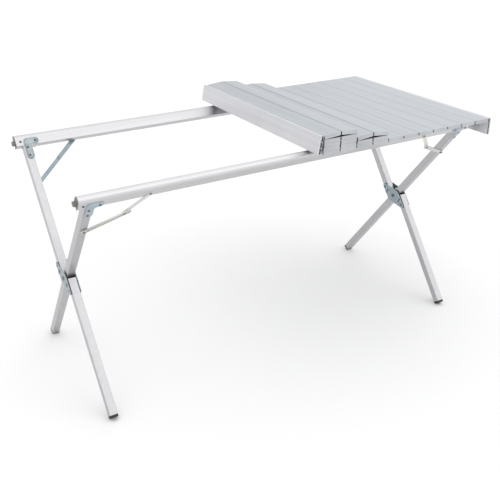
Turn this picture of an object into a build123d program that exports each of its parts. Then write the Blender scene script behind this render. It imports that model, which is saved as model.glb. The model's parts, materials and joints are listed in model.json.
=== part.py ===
"""Folding camp table: an accordion slat top on two rails, carried by two crossed pairs of legs.

Frame: millimetres, +X along the table, +Y across it, +Z up. The origin is on the floor, under the middle
of the whole table's box. The top is half unfolded: seven slats lie flat and the rest are stacked on it.
"""

from build123d import *
import os
from math import acos, asin, atan2, cos, degrees, hypot, radians, sin

os.makedirs("parts", exist_ok=True)

# --- driving dimensions -------------------------------------------------------------------------------
TOP_HEIGHT = 711.0  # floor to the working surface
CLEAR = 0.3  # running gap between pieces that move apart

# the slats
SLAT_COUNT = 23
SLAT_LENGTH = 710.0  # with its two end plugs
SLAT_WIDTH = 58.5  # of the top skin
SLAT_GAP = 1.0  # between neighbours' top skins
SLAT_BODY = 54.7  # the hollow box under the skin
SLAT_SKIN = 1.4
SLAT_THICK = 11.2
SLAT_WALL = 0.9
SLAT_CORNER = 1.3
SLAT_CELLS = 3
PLUG_FLANGE = 1.5
PLUG_DEPTH = 12.0
BASE_SLATS = 11  # slats of the bottom layer
SECOND_LEAF = 4  # slats folded back onto it
LOWER_TENT = 6.0  # degrees: slats 16 and 17 stand up as a low tent
UPPER_TENT = 5.0  # degrees: slats 22 and 23 do the same

# the end boards, which hang over the rails' ends
BOARD_HEIGHT = 54.0
BOARD_THICK = 12.0
BOARD_WALL = 1.1
BOARD_LEAN = 12.0  # degrees: the left board rests at a slant against the stack

# the elastic cords inside the slats
CORD_RADIUS = 2.0
CORD_HOLE = 2.6
CORD_SPREAD = 320.0  # each cord's distance from the table's centre line

# the frame
PIVOT_HEIGHT = 339.0  # the crossing's pivot above the floor
TUBE = 24.0  # the legs' square tube
TUBE_WALL = 1.3
TUBE_CORNER = 1.6
THROUGH_WIDTH = TUBE - 0.8  # the through legs are slimmer, to run between the plates
LEG_OUTER = 645.0  # outer face of the legs from the middle of the frame
HALF_OFFSET = 24.5  # each half of a split leg lies this far to one side of the pivot
HALF_START = 10.8  # and starts this far along from it
RAIL_CROWN_Y = 291.0  # crown's centre from the table's centre line
RAIL_WALL = 1.6
RAIL_BELOW_CROWN = 26.0
RAIL_END = 663.0
CAP_FLANGE = 1.5
CAP_PLUG = 18.0
STUD_RADIUS = 7.5
STUD_LENGTH = 8.5
STUD_ROUND = 1.5
STUD_BELOW_CROWN = 11.5
FOOT_CAP = 8.0
FOOT_PLUG = 22.0
FOOT_CUT = 2.5  # how deep the floor cuts the foot's lowest edge
FIT = 0.1  # a plug is this much smaller than its tube, all round

# the zinc-plated fittings
SHEET = 1.8
PLATE_SHEET = 2.0
LINER = 2.5
RIVET_SHANK = 2.6
RIVET_BORE = 2.0
RIVET_HEAD = 3.9
RIVET_DOME = 1.2
HEAD_TAPER = 25.0  # degrees
PIVOT_SHANK = 5.0
PIVOT_HEAD = 7.5
PIVOT_DOME = 1.6
PIVOT_HOLE = 2.2
PIVOT_CLEAR = 0.08
LEG_LINK_WIDTH = 12.0
LEG_LINK_DEPTH = 4.2
LEG_LINK_SHEET = 1.4
RAIL_LINK_WIDTH = 13.0

# where the fittings sit: x from the frame's middle, and how far below the rail's crown along the leg
LEG_X = LEG_OUTER - TUBE / 2
BRACKET_CORNER = (630.0, 15.0)
BRACKET_FOOT = (630.0, 60.0)
BRACKET_ARM = (606.0, 15.0)
BRACKET_WIDTH = 22.0
BRACKET_INNER_RADIUS = 9.0
BRACKET_RIM = 3.0  # the flat edge around each bracket's raised panel
BRACKET_PRESS = 1.2  # how far the panel is pressed out
PRESS_TAPER = 30.0  # degrees
LEG_RIVET_DROPS = (34.0, 59.0)
CAP_RIVET = (649.0, 13.0)
# a stay's foot, knee and head: the near frame's stays sag a little at the knee, the far frame's are straight
NEAR_STAY = ((LEG_X, 146.0), (530.0, 88.0), (470.0, 14.0))
FAR_STAY = ((LEG_X, 149.0), (542.7, 72.7), (469.9, 11.2))
STAY_LAP = 14.0  # the leg link runs on past the knee, as the stop
# and on the split legs' plane: how far along the leg from the pivot, and how far outwards
PLATE_OUTLINE = ((64.0, -5.0), (64.0, 7.0), (10.0, 31.0), (-64.0, 5.0), (-64.0, -7.0), (-10.0, -31.0))
PLATE_TURN = 26.0  # degrees from the leg's line to the plate's
PLATE_CORNERS = 7.0
LINER_HALF = ((-8.0, 28.0), (12.0, 31.5), (50.0, 32.0), (55.0, 25.0), (48.0, 14.0), (12.0, 12.0))
LINER_CORNERS = 1.5
PLATE_RIVETS = ((24.5, 28.0), (45.5, 26.5), (28.0, 18.0))
PLATE_SLOT = ((21.0, 9.0), 13.0, 4.6)  # centre from the pivot, length and width

# --- sizes worked out from them -------------------------------------------------------------------------
PITCH = SLAT_WIDTH + SLAT_GAP
LAYER = SLAT_THICK + CLEAR
TOP_HALF = SLAT_COUNT * PITCH / 2
STUD_TIP = RAIL_END + CAP_FLANGE + STUD_LENGTH
MIDDLE = (STUD_TIP - TOP_HALF - BOARD_THICK) / 2  # the frame's middle, from the middle of the box

HALF_TUBE = TUBE / 2
CROWN_RISE = TOP_HEIGHT - SLAT_THICK - CLEAR - HALF_TUBE - PIVOT_HEIGHT
THROUGH_LEAN = atan2(RAIL_CROWN_Y, CROWN_RISE)
SPLIT_LEAN = acos(HALF_OFFSET / hypot(RAIL_CROWN_Y, CROWN_RISE)) - atan2(CROWN_RISE, RAIL_CROWN_Y)
NEAR_CROWN = hypot(RAIL_CROWN_Y, CROWN_RISE)  # crown's centre along the through leg, from the pivot
FAR_CROWN = (NEAR_CROWN**2 - HALF_OFFSET**2) ** 0.5
THROUGH_FOOT = (PIVOT_HEIGHT - HALF_TUBE * sin(THROUGH_LEAN) + FOOT_CUT) / cos(THROUGH_LEAN)
SPLIT_FOOT = (PIVOT_HEIGHT + (HALF_OFFSET - HALF_TUBE) * sin(SPLIT_LEAN) + FOOT_CUT) / cos(SPLIT_LEAN)

# Each frame has its own plane: x along the table, y up its legs, z out of its outer face.
near_plane = Plane(
    origin=(MIDDLE, 0, PIVOT_HEIGHT), x_dir=(1, 0, 0), z_dir=(0, -cos(THROUGH_LEAN), -sin(THROUGH_LEAN))
)
split_out = Vector(0, cos(SPLIT_LEAN), -sin(SPLIT_LEAN))
split_plane = Plane(origin=(MIDDLE, 0, PIVOT_HEIGHT), x_dir=(-1, 0, 0), z_dir=split_out)
upper_plane = split_plane.offset(HALF_OFFSET)
lower_plane = split_plane.offset(-HALF_OFFSET)


def across_tube(plane, x, y):
    """The plane square to a leg, y up along it from the pivot."""
    return Plane(origin=plane.from_local_coords((x, y, 0)), x_dir=plane.x_dir, z_dir=plane.y_dir)


def across_rail(plane, x):
    """The plane square to a rail at x, with its y up the legs."""
    return Plane(origin=plane.from_local_coords((x, 0, 0)), x_dir=-plane.z_dir, z_dir=plane.x_dir)


def side_on(plane, x):
    """The plane facing along the table at x: its x runs up the leg and its y out of the outer face."""
    return Plane(origin=plane.from_local_coords((x, 0, 0)), x_dir=plane.y_dir, z_dir=plane.x_dir)


def finish(piece, name):
    """Labels a finished piece and writes its file."""
    piece.part.label = name
    export_step(piece.part, f"parts/{name}.step")


# --- the slats ------------------------------------------------------------------------------------------


def slat_plane(x, z, tilt, flipped, y):
    """The plane of a slat's section: centre (x, z), right end raised by tilt degrees, top face up or down."""
    turn = radians(tilt + (180 if flipped else 0))
    return Plane(origin=(MIDDLE + x, y, z), x_dir=(cos(turn), 0, sin(turn)), z_dir=(0, -1, 0))


def cell_centres(width, count, wall):
    """The width and the centres of the equal cells of a hollow extrusion."""
    cell = (width - (count + 1) * wall) / count
    return cell, [(k - (count - 1) / 2) * (cell + wall) for k in range(count)]


def tented(joint_x, bottom, angle):
    """Two slats that stand up as a low tent, left of a fold at joint_x, and where the flat slats go on.

    The fold lies half the running gap under the slats, and the slats are hinged to each other half way up.
    Returns the two slats' places, the two hinges and the second slat's slope in degrees.
    """
    up = CLEAR / 2 + SLAT_THICK / 2
    first = radians(angle)
    ridge_x = joint_x - PITCH * cos(first) + up * sin(first)
    ridge = (ridge_x, bottom - CLEAR / 2 + PITCH * sin(first) + up * cos(first))
    level = bottom + SLAT_THICK / 2
    second = asin((ridge[1] - level) / PITCH)
    valley = (ridge[0] - PITCH * cos(second), level)
    middle_1 = (ridge[0] + PITCH / 2 * cos(first), ridge[1] - PITCH / 2 * sin(first), -angle)
    middle_2 = (ridge[0] - PITCH / 2 * cos(second), ridge[1] - PITCH / 2 * sin(second), degrees(second))
    return middle_1, middle_2, ridge, valley


def row_of(count, first_x, step, z):
    """Flat slats in a row: the first one's centre, the step to the next and their centre height."""
    return [(first_x + k * step, z, 0.0) for k in range(count)]


base_level = TOP_HEIGHT - SLAT_THICK / 2
first_centre = TOP_HALF - PITCH / 2
base_row = row_of(BASE_SLATS, first_centre, -PITCH, base_level)
left_fold = TOP_HALF - BASE_SLATS * PITCH
right_fold = left_fold + SECOND_LEAF * PITCH
second_row = row_of(SECOND_LEAF, left_fold + PITCH / 2, PITCH, base_level + LAYER)
tent_level = TOP_HEIGHT + CLEAR + LAYER
slat_16, slat_17, lower_ridge, lower_valley = tented(right_fold, tent_level, LOWER_TENT)
third_row = row_of(2, lower_valley[0] - PITCH / 2, -PITCH, base_level + 2 * LAYER)
upper_left_fold = lower_valley[0] - 2 * PITCH
fourth_row = row_of(2, upper_left_fold + PITCH / 2, PITCH, base_level + 3 * LAYER)
upper_right_fold = upper_left_fold + 2 * PITCH
slat_22, slat_23, upper_ridge, upper_valley = tented(upper_right_fold, tent_level + 2 * LAYER, UPPER_TENT)


def slat_outline():
    """A slat's section: a hollow box under a wider top skin, which nearly meets its neighbours'."""
    RectangleRounded(SLAT_BODY, SLAT_THICK, SLAT_CORNER)
    with Locations((0, (SLAT_THICK - SLAT_SKIN) / 2)):
        RectangleRounded(SLAT_WIDTH, SLAT_SKIN, SLAT_SKIN / 3)


# body of slats: (places, are they upside down)
slat_groups = {
    "base": (base_row, False),
    "second_leaf": (second_row, True),
    "slat_16": ([slat_16], False),
    "slat_17": ([slat_17], False),
    "third_leaf": (third_row, False),
    "fourth_leaf": (fourth_row, True),
    "slat_22": ([slat_22], False),
    "slat_23": ([slat_23], False),
}

cell_width, cell_middles = cell_centres(SLAT_BODY, SLAT_CELLS, SLAT_WALL)
cell_height = SLAT_THICK - 2 * SLAT_WALL
tube_length = SLAT_LENGTH - 2 * PLUG_FLANGE

number = 0
for group, (places, flipped) in slat_groups.items():
    for x, z, tilt in places:
        number += 1
        with BuildPart() as slat:
            with BuildSketch(slat_plane(x, z, tilt, flipped, tube_length / 2)):
                slat_outline()
                with Locations([(middle, 0) for middle in cell_middles]):
                    Rectangle(cell_width, cell_height, mode=Mode.SUBTRACT)
            extrude(amount=tube_length)
            along = (cos(radians(tilt)), 0, sin(radians(tilt)))
            with BuildSketch(Plane(origin=(MIDDLE + x, 0, z), x_dir=(0, 1, 0), z_dir=along)):
                with Locations((-CORD_SPREAD, 0), (CORD_SPREAD, 0)):
                    Circle(CORD_HOLE)
            extrude(amount=SLAT_WIDTH, both=True, mode=Mode.SUBTRACT)
        finish(slat, f"slat_{number:02d}")

    # a plastic plug in each end of every slat: a flange and a tongue for each cell
    with BuildPart() as plugs:
        for x, z, tilt in places:
            for end in (1, -1):
                with BuildSketch(slat_plane(x, z, tilt, flipped, end * tube_length / 2)):
                    slat_outline()
                extrude(amount=-end * PLUG_FLANGE)
                with BuildSketch(slat_plane(x, z, tilt, flipped, end * tube_length / 2)):
                    with Locations([(middle, 0) for middle in cell_middles]):
                        Rectangle(cell_width - 2 * FIT, cell_height - 2 * FIT)
                extrude(amount=end * PLUG_DEPTH)
    finish(plugs, f"{group}_plugs")

# the elastic cords, which hold the slats of a leaf side by side
for group in ("base", "second_leaf"):
    places = slat_groups[group][0]
    low = min(place[0] for place in places) - SLAT_WIDTH / 2
    span = (len(places) - 1) * PITCH + SLAT_WIDTH
    with BuildPart() as cords:
        with BuildSketch(Plane(origin=(MIDDLE + low, 0, places[0][1]), x_dir=(0, 1, 0), z_dir=(1, 0, 0))):
            with Locations((-CORD_SPREAD, 0), (CORD_SPREAD, 0)):
                Circle(CORD_RADIUS)
        extrude(amount=span)
    finish(cords, f"{group}_cords")


# --- the end boards ---------------------------------------------------------------------------------------


def end_board(name, x, z, lean, outwards):
    """A hollow two-layer extrusion, hung from its top inner edge at (x, z), its foot lean degrees outwards.

    It has a thin outer wall, a groove along each edge and a thicker box of cells behind.
    """
    skin = BOARD_THICK * 0.3
    groove = 0.8
    groove_depth = 5.0
    box_depth = BOARD_THICK - skin - groove
    cell, middles = cell_centres(BOARD_HEIGHT, 3, BOARD_WALL)
    down = -BOARD_HEIGHT / 2
    section = Plane(
        origin=(MIDDLE + x, outwards * SLAT_LENGTH / 2, z),
        x_dir=(outwards * cos(radians(lean)), 0, sin(radians(lean))),
        z_dir=(0, -outwards, 0),
    )
    with BuildPart() as board:
        with BuildSketch(section):
            with Locations((BOARD_THICK / 2, down)):
                RectangleRounded(BOARD_THICK, BOARD_HEIGHT, SLAT_CORNER)
            with Locations([(box_depth / 2, down + middle) for middle in middles]):
                Rectangle(box_depth - 2 * BOARD_WALL, cell, mode=Mode.SUBTRACT)
            with Locations([(box_depth + groove / 2, down + side * BOARD_HEIGHT / 2) for side in (-1, 1)]):
                Rectangle(groove, 2 * groove_depth, mode=Mode.SUBTRACT)
            with Locations((box_depth + groove / 2, down)):
                Rectangle(groove, BOARD_HEIGHT - 4 * groove_depth, mode=Mode.SUBTRACT)
        extrude(amount=SLAT_LENGTH)
    finish(board, name)


slope = radians(slat_23[2])
left_hinge = (upper_valley[0] - SLAT_THICK / 2 * sin(slope), upper_valley[1] + SLAT_THICK / 2 * cos(slope))
end_board("right_end_board", TOP_HALF, TOP_HEIGHT, 0.0, 1)
end_board("left_end_board", *left_hinge, BOARD_LEAN, -1)


# --- shared outlines ----------------------------------------------------------------------------------------


def rail_outline(crown, margin):
    """A rail's D-shaped section, margin inside its outer face, its crown's centre that far from the pivot."""
    with Locations((0, crown)):
        Circle(HALF_TUBE - margin)
        Rectangle(TUBE - 2 * margin, RAIL_BELOW_CROWN - margin, align=(Align.CENTER, Align.MAX))


def bar(start, end, width):
    """A round-ended strip between two points of a sketch."""
    run = (end[0] - start[0], end[1] - start[1])
    with Locations(((start[0] + end[0]) / 2, (start[1] + end[1]) / 2)):
        SlotCenterToCenter(hypot(*run), width, rotation=degrees(atan2(run[1], run[0])))


def at(side, crown, place):
    """A fitting's place on a frame's plane, at the end that side gives."""
    return side * place[0], crown - place[1]


ENDS = (-1, 1)


# --- the rails and their caps -------------------------------------------------------------------------------


def rail(name, plane, crown, stay):
    """A hollow rail with the holes of its rivets, of which the stays' only go through the outer wall."""
    with BuildPart() as tube:
        with BuildSketch(across_rail(plane, -RAIL_END)) as outline:
            rail_outline(crown, 0)
            fillet(outline.vertices().sort_by(Axis.Y)[:2], TUBE_CORNER)
        extrude(amount=2 * RAIL_END)
        with BuildSketch(across_rail(plane, -RAIL_END)):
            rail_outline(crown, RAIL_WALL)
        extrude(amount=2 * RAIL_END, mode=Mode.SUBTRACT)
        with BuildSketch(plane.offset(-HALF_TUBE)):
            with Locations([at(side, crown, place) for side in ENDS for place in (BRACKET_ARM, CAP_RIVET)]):
                Circle(RIVET_SHANK)
        extrude(amount=TUBE, mode=Mode.SUBTRACT)
        with BuildSketch(plane):
            with Locations([at(side, crown, stay[2]) for side in ENDS]):
                Circle(RIVET_SHANK)
        extrude(amount=TUBE, mode=Mode.SUBTRACT)
    finish(tube, name)


def rail_caps(name, plane, crown):
    """The two plastic caps of a rail, each with a plug inside it and a stud that locates an end board."""
    with BuildPart() as caps:
        for side in ENDS:
            with BuildSketch(across_rail(plane, side * RAIL_END)):
                rail_outline(crown, 0)
            extrude(amount=side * CAP_FLANGE)
            with BuildSketch(across_rail(plane, side * (RAIL_END - CAP_PLUG))):
                rail_outline(crown, RAIL_WALL + FIT)
            extrude(amount=side * CAP_PLUG)
            with BuildSketch(across_rail(plane, side * (RAIL_END + CAP_FLANGE))):
                with Locations((0, crown - STUD_BELOW_CROWN)):
                    Circle(STUD_RADIUS)
            extrude(amount=side * STUD_LENGTH)
        ends = caps.faces().sort_by(Axis.X)
        fillet(ends[0].edges() + ends[-1].edges(), STUD_ROUND)
        with BuildSketch(plane.offset(-HALF_TUBE)):
            with Locations([at(side, crown, CAP_RIVET) for side in ENDS]):
                Circle(RIVET_SHANK)
        extrude(amount=TUBE, mode=Mode.SUBTRACT)
    finish(caps, name)


rail("near_rail", near_plane, NEAR_CROWN, NEAR_STAY)
rail("far_rail", upper_plane, FAR_CROWN, FAR_STAY)
rail_caps("near_rail_caps", near_plane, NEAR_CROWN)
rail_caps("far_rail_caps", upper_plane, FAR_CROWN)


# --- the legs and their feet --------------------------------------------------------------------------------


def leg(name, plane, x, low, high, width, side_holes, side_radius, face_holes=(), outer_holes=()):
    """A square tube up the plane at x, with holes along the table, through both faces or the outer one."""
    with BuildPart() as tube:
        with BuildSketch(across_tube(plane, x, low)):
            RectangleRounded(width, TUBE, TUBE_CORNER)
            Rectangle(width - 2 * TUBE_WALL, TUBE - 2 * TUBE_WALL, mode=Mode.SUBTRACT)
        extrude(amount=high - low)
        with BuildSketch(side_on(plane, x - TUBE)):
            with Locations(side_holes):
                Circle(side_radius)
        extrude(amount=2 * TUBE, mode=Mode.SUBTRACT)
        for holes, depth in ((face_holes, TUBE), (outer_holes, 0)):
            if holes:
                with BuildSketch(plane.offset(-depth)):
                    with Locations([(x, along) for along in holes]):
                        Circle(RIVET_SHANK)
                extrude(amount=depth + TUBE, mode=Mode.SUBTRACT)
    finish(tube, name)


def feet(name, plane, low, width):
    """The plastic feet of a pair of legs, cut flat where they meet the floor."""
    with BuildPart() as caps:
        for x in (-LEG_X, LEG_X):
            with BuildSketch(across_tube(plane, x, low)):
                RectangleRounded(width, TUBE, TUBE_CORNER)
            extrude(amount=FOOT_CAP)
            with BuildSketch(across_tube(plane, x, low + FOOT_CAP)):
                Rectangle(width - 2 * TUBE_WALL - 2 * FIT, TUBE - 2 * TUBE_WALL - 2 * FIT)
            extrude(amount=FOOT_PLUG)
        split(bisect_by=Plane.XY, keep=Keep.TOP)
    finish(caps, name)


near_faces = [NEAR_CROWN - drop for drop in LEG_RIVET_DROPS]
far_faces = [FAR_CROWN - drop for drop in LEG_RIVET_DROPS]
near_foot = [NEAR_CROWN - NEAR_STAY[0][1]]
far_foot = [FAR_CROWN - FAR_STAY[0][1]]
# a split half's own plane is already moved over by the offset, and the lower half mirrors the upper one
half_rivets = [(along, out - HALF_OFFSET) for along, out in PLATE_RIVETS]
lower_rivets = [(-along, -out) for along, out in half_rivets]

for side, end in zip(ENDS, ("left", "right")):
    x = side * LEG_X
    rail_foot = RAIL_BELOW_CROWN
    leg(f"through_leg_{end}", near_plane, x, FOOT_CAP - THROUGH_FOOT, NEAR_CROWN - rail_foot,
        THROUGH_WIDTH, [(0, 0)], PIVOT_SHANK, near_faces, near_foot)
    # the split legs' plane runs the other way along the table
    leg(f"upper_half_leg_{end}", upper_plane, -x, HALF_START, FAR_CROWN - rail_foot,
        TUBE, half_rivets, RIVET_SHANK, far_faces, far_foot)
    leg(f"lower_half_leg_{end}", lower_plane, -x, FOOT_CAP - SPLIT_FOOT, -HALF_START,
        TUBE, lower_rivets, RIVET_SHANK)

feet("through_leg_feet", near_plane, -THROUGH_FOOT, THROUGH_WIDTH)
feet("split_leg_feet", lower_plane, -SPLIT_FOOT, TUBE)


# --- the crossing: plates, liners and pivots ----------------------------------------------------------------

rivet_places = list(PLATE_RIVETS) + [(-along, -out) for along, out in PLATE_RIVETS]


def leaves(name, ends, corners, turn, rounding, inner, thick, slot):
    """Plates or liners on both sides of the legs at the given ends, with a gap of inner to the legs."""
    with BuildPart() as plates:
        for end in ends:
            for face in (HALF_TUBE + inner, -HALF_TUBE - inner - thick):
                with BuildSketch(side_on(split_plane, end * LEG_X + face)) as outline:
                    Polygon(*corners, rotation=turn, align=None)
                    fillet(outline.vertices(), rounding)
                    Circle(PIVOT_SHANK + PIVOT_CLEAR, mode=Mode.SUBTRACT)
                    with Locations(rivet_places):
                        Circle(RIVET_SHANK, mode=Mode.SUBTRACT)
                    if slot:
                        centre, length, width = PLATE_SLOT
                        with Locations(centre, (-centre[0], -centre[1])):
                            SlotOverall(length, width, mode=Mode.SUBTRACT)
                extrude(amount=thick)
    finish(plates, name)


liner_corners = list(LINER_HALF) + [(-along, -out) for along, out in LINER_HALF]
for end, side in (("left", 1), ("right", -1)):
    name = f"crossing_plates_{end}"
    leaves(name, (side,), PLATE_OUTLINE, PLATE_TURN, PLATE_CORNERS, LINER, PLATE_SHEET, True)
leaves("crossing_liners", ENDS, liner_corners, 0, LINER_CORNERS, 0, LINER, False)

stack_half = HALF_TUBE + LINER + PLATE_SHEET  # from the legs' middle to a plate's outer face
with BuildPart() as pivots:
    for x in (-LEG_X, LEG_X):
        with BuildSketch(side_on(near_plane, x)):
            Circle(PIVOT_SHANK)
        extrude(amount=stack_half + CLEAR, both=True)
        for side in ENDS:
            with BuildSketch(side_on(near_plane, x + side * (stack_half + CLEAR))):
                Circle(PIVOT_HEAD)
            extrude(amount=side * PIVOT_DOME, taper=HEAD_TAPER)
        with BuildSketch(side_on(near_plane, x)):
            Circle(PIVOT_HOLE)
        extrude(amount=TUBE, both=True, mode=Mode.SUBTRACT)
finish(pivots, "crossing_pivots")


# --- the corner brackets and the folding stays --------------------------------------------------------------


def brackets(name, plane, crown):
    """L-shaped plates with a pressed-out panel, on both faces of each corner between a leg and its rail."""
    with BuildPart() as plates:
        for side in ENDS:
            corner, foot, arm = [at(side, crown, p) for p in (BRACKET_CORNER, BRACKET_FOOT, BRACKET_ARM)]
            for way in (1, -1):
                for level, height, rim, taper in (
                    (HALF_TUBE, SHEET, 0, 0),
                    (HALF_TUBE + SHEET, BRACKET_PRESS, BRACKET_RIM, PRESS_TAPER),
                ):
                    width = BRACKET_WIDTH - 2 * rim
                    inner = (corner[0] - side * width / 2, corner[1] - width / 2)
                    with BuildSketch(plane.offset(way * level)) as outline:
                        bar(foot, corner, width)
                        bar(corner, arm, width)
                        fillet(outline.vertices().sort_by_distance(inner)[:1], BRACKET_INNER_RADIUS)
                    extrude(amount=way * height, taper=taper)
            with BuildSketch(plane.offset(-TUBE)):
                with Locations(arm, *[(side * LEG_X, crown - drop) for drop in LEG_RIVET_DROPS]):
                    Circle(RIVET_SHANK)
            extrude(amount=2 * TUBE, mode=Mode.SUBTRACT)
    finish(plates, name)


def stays(prefix, plane, crown, places):
    """The two-part folding stays on a frame's outer face: a strip on the rail, and a channel to the leg."""
    with BuildPart() as channels:
        for side in ENDS:
            foot, knee = [at(side, crown, place) for place in places[:2]]
            run = hypot(knee[0] - foot[0], knee[1] - foot[1])
            along = ((knee[0] - foot[0]) / run, (knee[1] - foot[1]) / run)
            lap = (knee[0] + along[0] * STAY_LAP, knee[1] + along[1] * STAY_LAP)
            with BuildSketch(plane.offset(HALF_TUBE + SHEET)):
                bar(foot, lap, LEG_LINK_WIDTH)
            extrude(amount=LEG_LINK_DEPTH)
            with BuildSketch(plane.offset(HALF_TUBE + SHEET + LEG_LINK_SHEET)):
                bar(foot, lap, LEG_LINK_WIDTH - 2 * LEG_LINK_SHEET)
            extrude(amount=LEG_LINK_DEPTH, mode=Mode.SUBTRACT)
            # a washer holds the channel off the leg, as far as the strip holds it off at the knee
            with BuildSketch(plane.offset(HALF_TUBE)):
                with Locations(foot):
                    Circle(RIVET_HEAD)
            extrude(amount=SHEET)
            with BuildSketch(plane.offset(HALF_TUBE)):
                with Locations(foot, knee):
                    Circle(RIVET_SHANK)
            extrude(amount=TUBE, mode=Mode.SUBTRACT)
    finish(channels, f"{prefix}_stay_leg_links")

    with BuildPart() as strips:
        for side in ENDS:
            knee, head = [at(side, crown, place) for place in places[1:]]
            with BuildSketch(plane.offset(HALF_TUBE)):
                bar(knee, head, RAIL_LINK_WIDTH)
                with Locations(knee, head):
                    Circle(RIVET_SHANK, mode=Mode.SUBTRACT)
            extrude(amount=SHEET)
    finish(strips, f"{prefix}_stay_rail_links")


def frame_rivets(plane, crown, stay):
    """The rivets of a frame's corners and stays, each as its plane, place and the two levels it clamps."""
    outside = HALF_TUBE + SHEET + BRACKET_PRESS
    link_web = HALF_TUBE + SHEET + LEG_LINK_SHEET
    foot, knee, head = stay
    levels = {
        BRACKET_ARM: (-outside, outside),
        CAP_RIVET: (-HALF_TUBE, HALF_TUBE),
        foot: (HALF_TUBE - TUBE_WALL, link_web),
        knee: (HALF_TUBE, link_web),
        head: (HALF_TUBE - RAIL_WALL, HALF_TUBE + SHEET),
    }
    levels.update({(LEG_X, drop): (-outside, outside) for drop in LEG_RIVET_DROPS})
    return [(plane, at(side, crown, place), *ends) for side in ENDS for place, ends in levels.items()]


def rivets(name, clamped):
    """Tubular rivets with a flat-topped head at each end."""
    with BuildPart() as shanks:
        for plane, centre, low, high in clamped:
            with BuildSketch(plane.offset(low)):
                with Locations(centre):
                    Circle(RIVET_SHANK)
            extrude(amount=high - low)
            for level, height in ((low, -RIVET_DOME), (high, RIVET_DOME)):
                with BuildSketch(plane.offset(level)):
                    with Locations(centre):
                        Circle(RIVET_HEAD)
                extrude(amount=height, taper=HEAD_TAPER)
            with BuildSketch(plane.offset(low - RIVET_DOME)):
                with Locations(centre):
                    Circle(RIVET_BORE)
            extrude(amount=high - low + 2 * RIVET_DOME, mode=Mode.SUBTRACT)
    finish(shanks, name)


brackets("near_brackets", near_plane, NEAR_CROWN)
brackets("far_brackets", upper_plane, FAR_CROWN)
stays("near", near_plane, NEAR_CROWN, NEAR_STAY)
stays("far", upper_plane, FAR_CROWN, FAR_STAY)
plate_rivets = [
    (side_on(split_plane, x), place, -stack_half, stack_half)
    for x in (-LEG_X, LEG_X)
    for place in rivet_places
]
rivets("near_frame_rivets", frame_rivets(near_plane, NEAR_CROWN, NEAR_STAY))
rivets("far_frame_rivets", frame_rivets(upper_plane, FAR_CROWN, FAR_STAY) + plate_rivets)
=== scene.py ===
"""The folding camp table, dressed for rendering: satin aluminium, zinc-plated fittings and dark plastic.

Every CAD node keeps its mesh and gets a material here. Lengths are metres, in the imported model's frame.
"""

import json
from math import atan2, cos, radians, sin

import bpy
from mathutils import Matrix, Vector


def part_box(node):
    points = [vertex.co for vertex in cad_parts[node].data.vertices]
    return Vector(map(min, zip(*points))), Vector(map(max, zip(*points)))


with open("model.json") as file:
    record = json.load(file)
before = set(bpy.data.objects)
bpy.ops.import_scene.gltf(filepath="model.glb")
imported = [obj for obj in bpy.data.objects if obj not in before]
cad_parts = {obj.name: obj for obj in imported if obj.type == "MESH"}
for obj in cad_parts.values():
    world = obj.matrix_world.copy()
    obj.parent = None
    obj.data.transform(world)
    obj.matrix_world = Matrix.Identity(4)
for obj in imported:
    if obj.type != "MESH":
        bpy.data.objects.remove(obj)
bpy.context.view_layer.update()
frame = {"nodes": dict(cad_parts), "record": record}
nodes = frame["nodes"]

# --- camera ---------------------------------------------------------------------------------------------
CAMERA_PLACE = Vector((-1.1612, -1.9872, 1.3738))
CAMERA_YAW = radians(57.78)  # from +X towards +Y
CAMERA_PITCH = radians(26.79)  # downwards
CAMERA_ROLL = radians(0.16)
CAMERA_LENS = 53.51
CAMERA_SHIFT = (-0.0553, 0.0270)


def add_camera():
    """The camera at the viewing angle the table is shown from."""
    ahead = Vector((
        cos(CAMERA_YAW) * cos(CAMERA_PITCH), sin(CAMERA_YAW) * cos(CAMERA_PITCH), -sin(CAMERA_PITCH)
    ))
    right = Vector((sin(CAMERA_YAW), -cos(CAMERA_YAW), 0))
    up = right.cross(ahead)
    turn = Matrix((right, up, -ahead)).transposed().to_4x4() @ Matrix.Rotation(CAMERA_ROLL, 4, "Z")
    data = bpy.data.cameras.new("camera")
    data.lens = CAMERA_LENS
    data.shift_x, data.shift_y = CAMERA_SHIFT
    camera = bpy.data.objects.new("camera", data)
    camera.matrix_world = Matrix.Translation(CAMERA_PLACE) @ turn
    bpy.context.scene.collection.objects.link(camera)
    bpy.context.scene.camera = camera


add_camera()

# --- floor and light ------------------------------------------------------------------------------------
FLOOR_SIZE = 40.0
FLOOR_TONE = 0.78
FLOOR_ROUGHNESS = 0.9
WORLD_STRENGTH = 1.03
# each light's place, strength (watts to a square metre for the suns, watts for the softbox) and spread
OVERHEAD = ((0.3, -0.1, 1.0), 0.84, radians(100))
FRONT = ((0.23, -0.87, 0.35), 0.56, radians(80))
SOFTBOX = ((4.5, 3.0, 2.6), 5.0, (4.0, 2.5))


def add_floor():
    """A plain pale floor under the feet."""
    bpy.ops.mesh.primitive_plane_add(size=FLOOR_SIZE, location=(0, 0, 0))
    floor = bpy.context.object
    floor.name = "floor"
    material = bpy.data.materials.new("floor")
    material.use_nodes = True
    shader = material.node_tree.nodes["Principled BSDF"]
    shader.inputs["Base Color"].default_value = (FLOOR_TONE, FLOOR_TONE, FLOOR_TONE, 1)
    shader.inputs["Roughness"].default_value = FLOOR_ROUGHNESS
    floor.data.materials.append(material)


def add_light(kind, name, place, energy):
    """A light of that kind at place, pointing at the table's origin."""
    data = bpy.data.lights.new(name, kind)
    data.energy = energy
    light = bpy.data.objects.new(name, data)
    light.location = place
    light.rotation_euler = Vector(place).to_track_quat("Z", "Y").to_euler()
    bpy.context.scene.collection.objects.link(light)
    return data


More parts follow.
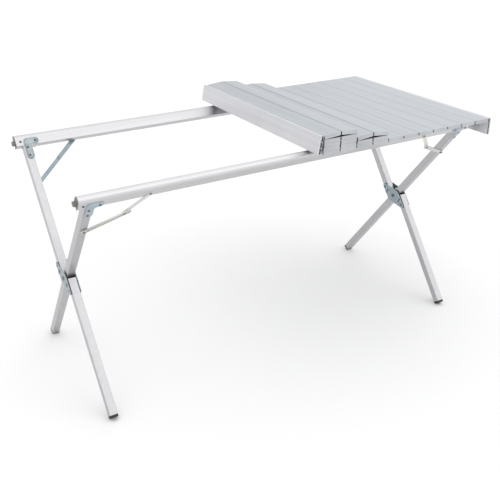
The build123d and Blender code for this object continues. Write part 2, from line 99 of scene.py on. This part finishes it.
def add_studio():
    """An even white studio: a broad light overhead, one in front and a weak softbox behind, to the right."""
    world = bpy.data.worlds.new("studio")
    world.use_nodes = True
    background = world.node_tree.nodes["Background"]
    background.inputs["Color"].default_value = (1, 1, 1, 1)
    background.inputs["Strength"].default_value = WORLD_STRENGTH
    bpy.context.scene.world = world
    bpy.context.scene.view_settings.view_transform = "Standard"
    for name, (place, energy, angle) in (("overhead", OVERHEAD), ("front", FRONT)):
        add_light("SUN", name, place, energy).angle = angle
    place, energy, size = SOFTBOX
    softbox = add_light("AREA", "softbox", place, energy)
    softbox.shape = "RECTANGLE"
    softbox.size, softbox.size_y = size


add_floor()
add_studio()

# --- materials ------------------------------------------------------------------------------------------
METALLIC = 0.85  # a dull oxide over the metal
BUMP_DISTANCE = 0.0003
MIDDLE_OF_NOISE = (0.3, 0.7)  # where most of a noise's values lie
# features to a metre: drawn metal's lines across and along the drawing, and every material's patches
FINE_LINES = 700.0
BROAD_LINES = 90.0
ALONG_LINES = 1.5
METAL_CLOUDS = (9, 9, 9)
ZINC_PATCHES = (28, 28, 28)
ZINC_GRAIN = (420, 420, 420)
PLASTIC_CLOUDS = (16, 16, 16)


def new_material(name, colour, metallic, roughness):
    """A material with plain values, and its shader node."""
    material = bpy.data.materials.new(name)
    material.use_nodes = True
    shader = material.node_tree.nodes["Principled BSDF"]
    shader.inputs["Base Color"].default_value = (*colour, 1)
    shader.inputs["Metallic"].default_value = metallic
    shader.inputs["Roughness"].default_value = roughness
    return material, shader


def noise(tree, scale, detail, turn=(0, 0, 0)):
    """Noise in the object's own frame, turned first, with scale features to a metre along each axis."""
    coords = tree.nodes.new("ShaderNodeTexCoord")
    turned = tree.nodes.new("ShaderNodeMapping")
    turned.inputs["Rotation"].default_value = turn
    mapping = tree.nodes.new("ShaderNodeMapping")
    mapping.inputs["Scale"].default_value = scale
    texture = tree.nodes.new("ShaderNodeTexNoise")
    texture.inputs["Scale"].default_value = 1.0
    texture.inputs["Detail"].default_value = detail
    tree.links.new(coords.outputs["Object"], turned.inputs["Vector"])
    tree.links.new(turned.outputs["Vector"], mapping.inputs["Vector"])
    tree.links.new(mapping.outputs["Vector"], texture.inputs["Vector"])
    return texture.outputs["Fac"]


def spread(tree, value, low, high):
    """Stretches a noise's middle range to low..high."""
    ramp = tree.nodes.new("ShaderNodeMapRange")
    ramp.inputs["From Min"].default_value = MIDDLE_OF_NOISE[0]
    ramp.inputs["From Max"].default_value = MIDDLE_OF_NOISE[1]
    ramp.inputs["To Min"].default_value = low
    ramp.inputs["To Max"].default_value = high
    tree.links.new(value, ramp.inputs["Value"])
    return ramp.outputs["Result"]


def mixed(tree, blend, factor, a, b):
    """Mixes two colours, each a colour or a node's output."""
    mix = tree.nodes.new("ShaderNodeMix")
    mix.data_type = "RGBA"
    mix.blend_type = blend
    for socket, value in (("Factor", factor), ("A", a), ("B", b)):
        target = [s for s in mix.inputs if s.name == socket and s.enabled][0]
        if isinstance(value, (int, float)):
            target.default_value = value
        elif isinstance(value, tuple):
            target.default_value = (*value, 1)
        else:
            tree.links.new(value, target)
    return [s for s in mix.outputs if s.enabled][0]


def bumped(tree, shader, height, strength):
    """Gives a shader a bump from a height."""
    bump = tree.nodes.new("ShaderNodeBump")
    bump.inputs["Strength"].default_value = strength
    bump.inputs["Distance"].default_value = BUMP_DISTANCE
    tree.links.new(height, bump.inputs["Height"])
    tree.links.new(bump.outputs["Normal"], shader.inputs["Normal"])


def drawn_metal(name, colour, roughness, axis, turn=0.0):
    """Satin aluminium drawn through a die: fine and broad lines along an axis, and faint cloudiness.

    The axis is 0, 1 or 2, in the object's frame turned by that many radians about X.
    """
    material, shader = new_material(name, colour, METALLIC, roughness)
    tree = material.node_tree
    turned = (turn, 0, 0)
    fine_scale = [FINE_LINES] * 3
    broad_scale = [BROAD_LINES] * 3
    fine_scale[axis] = broad_scale[axis] = ALONG_LINES
    fine = noise(tree, fine_scale, 2.0, turned)
    broad = noise(tree, broad_scale, 2.0, turned)
    clouds = noise(tree, METAL_CLOUDS, 3.0)
    tone = colour
    for pattern, low, high in ((fine, 0.93, 1.05), (broad, 0.96, 1.03), (clouds, 0.97, 1.03)):
        tone = mixed(tree, "MULTIPLY", 1.0, tone, spread(tree, pattern, low, high))
    tree.links.new(tone, shader.inputs["Base Color"])
    tree.links.new(spread(tree, clouds, roughness - 0.05, roughness + 0.05), shader.inputs["Roughness"])
    bumped(tree, shader, fine, 0.12)
    return material


def zinc(name, colour, tint, roughness):
    """Zinc plate on pressed steel: two tints in soft patches over a slight roll grain."""
    material, shader = new_material(name, colour, METALLIC, roughness)
    tree = material.node_tree
    patches = noise(tree, ZINC_PATCHES, 3.0)
    grain = noise(tree, ZINC_GRAIN, 2.0)
    tone = mixed(tree, "MIX", spread(tree, patches, 0.0, 1.0), colour, tint)
    tone = mixed(tree, "MULTIPLY", 1.0, tone, spread(tree, grain, 0.9, 1.08))
    tree.links.new(tone, shader.inputs["Base Color"])
    tree.links.new(spread(tree, grain, roughness - 0.04, roughness + 0.08), shader.inputs["Roughness"])
    bumped(tree, shader, grain, 0.1)
    return material


def plastic(name, colour, roughness, pebble):
    """Moulded plastic with a fine pebbled skin."""
    material, shader = new_material(name, colour, 0.0, roughness)
    tree = material.node_tree
    skin = noise(tree, (pebble, pebble, pebble), 2.0)
    clouds = noise(tree, PLASTIC_CLOUDS, 2.0)
    tone = mixed(tree, "MULTIPLY", 1.0, colour, spread(tree, clouds, 0.9, 1.1))
    tree.links.new(tone, shader.inputs["Base Color"])
    tree.links.new(spread(tree, clouds, roughness - 0.05, roughness + 0.07), shader.inputs["Roughness"])
    bumped(tree, shader, skin, 0.2)
    return material


def leg_lean(node):
    """How far a leg leans from upright across the table, in radians, from its box."""
    low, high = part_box(node)
    return atan2(high[1] - low[1], high[2] - low[2])


TUBE_COLOUR = (0.47, 0.465, 0.48)
TUBE_ROUGHNESS = 0.36
through_lean = leg_lean("through_leg_left")
split_lean = leg_lean("lower_half_leg_left")

# the record's material slots, and after them the nodes that look different from the rest of their slot: legs
# with their grain turned along them, and the near rail, brackets and stays with painted light or shade
slot_materials = {
    "slats": drawn_metal("slats", (0.45, 0.477, 0.507), 0.38, 1),
    "end_boards": drawn_metal("end_boards", (0.66, 0.662, 0.685), 0.40, 1),
    "slat_plugs": plastic("slat_plugs", (0.40, 0.412, 0.428), 0.5, 900),
    "cords": plastic("cords", (0.04, 0.04, 0.04), 0.9, 1200),
    "frame_tubes": drawn_metal("far_rail", (0.52, 0.515, 0.53), TUBE_ROUGHNESS, 0),
    "rail_caps": plastic("rail_caps", (0.17, 0.168, 0.155), 0.5, 700),
    "feet": plastic("feet", (0.012, 0.012, 0.012), 0.55, 700),
    "liners": plastic("liners", (0.012, 0.012, 0.012), 0.6, 700),
    "fittings": zinc("crossing_plates", (0.27, 0.35, 0.385), (0.33, 0.37, 0.40), 0.30),
    # painted shade: the rivets' zinc is painted dark so the heads read as the shaded dark dots of their
    # bores
    "rivets": zinc("rivets", (0.15, 0.165, 0.17), (0.20, 0.21, 0.21), 0.32),
}
through_legs = drawn_metal("through_legs", TUBE_COLOUR, TUBE_ROUGHNESS, 2, through_lean)
split_legs = drawn_metal("split_legs", TUBE_COLOUR, TUBE_ROUGHNESS, 2, -split_lean)
# painted light and shade: near and far stays are one zinc plate, the near ones painted lighter for the
# bright floor they reflect, the far ones painted darker for their shaded inner side; the two tints in
# patches are the plating's own
near_stays_painted_light = zinc("near_stays_painted_light", (0.66, 0.70, 0.72), (0.70, 0.68, 0.60), 0.32)
far_stays_painted_shade = zinc("far_stays_painted_shade", (0.18, 0.23, 0.26), (0.25, 0.28, 0.30), 0.28)
node_materials = {
    # painted light: the near rail is the frame tubes' aluminium painted lighter, to offset the shaded floor
    # it reflects under the table
    "near_rail": drawn_metal("near_rail", (0.58, 0.575, 0.585), TUBE_ROUGHNESS, 0),
    # painted light and shade: near and far brackets are one zinc plate, the near ones painted lighter and
    # the far ones painted dark as a painted reflection of dark surroundings
    "near_brackets": zinc("near_brackets", (0.38, 0.46, 0.51), (0.45, 0.48, 0.52), 0.28),
    "far_brackets": zinc("far_brackets", (0.12, 0.16, 0.18), (0.30, 0.33, 0.345), 0.16),
    "near_stay_leg_links": near_stays_painted_light,
    "near_stay_rail_links": near_stays_painted_light,
    "far_stay_leg_links": far_stays_painted_shade,
    "far_stay_rail_links": far_stays_painted_shade,
}
for end in ("left", "right"):
    node_materials[f"through_leg_{end}"] = through_legs
    node_materials[f"upper_half_leg_{end}"] = split_legs
    node_materials[f"lower_half_leg_{end}"] = split_legs

for subpart in frame["record"]["subparts"]:
    name = subpart["node"]
    material = node_materials.get(name, slot_materials[subpart["material_slot"]])
    nodes[name].data.materials.clear()
    nodes[name].data.materials.append(material)
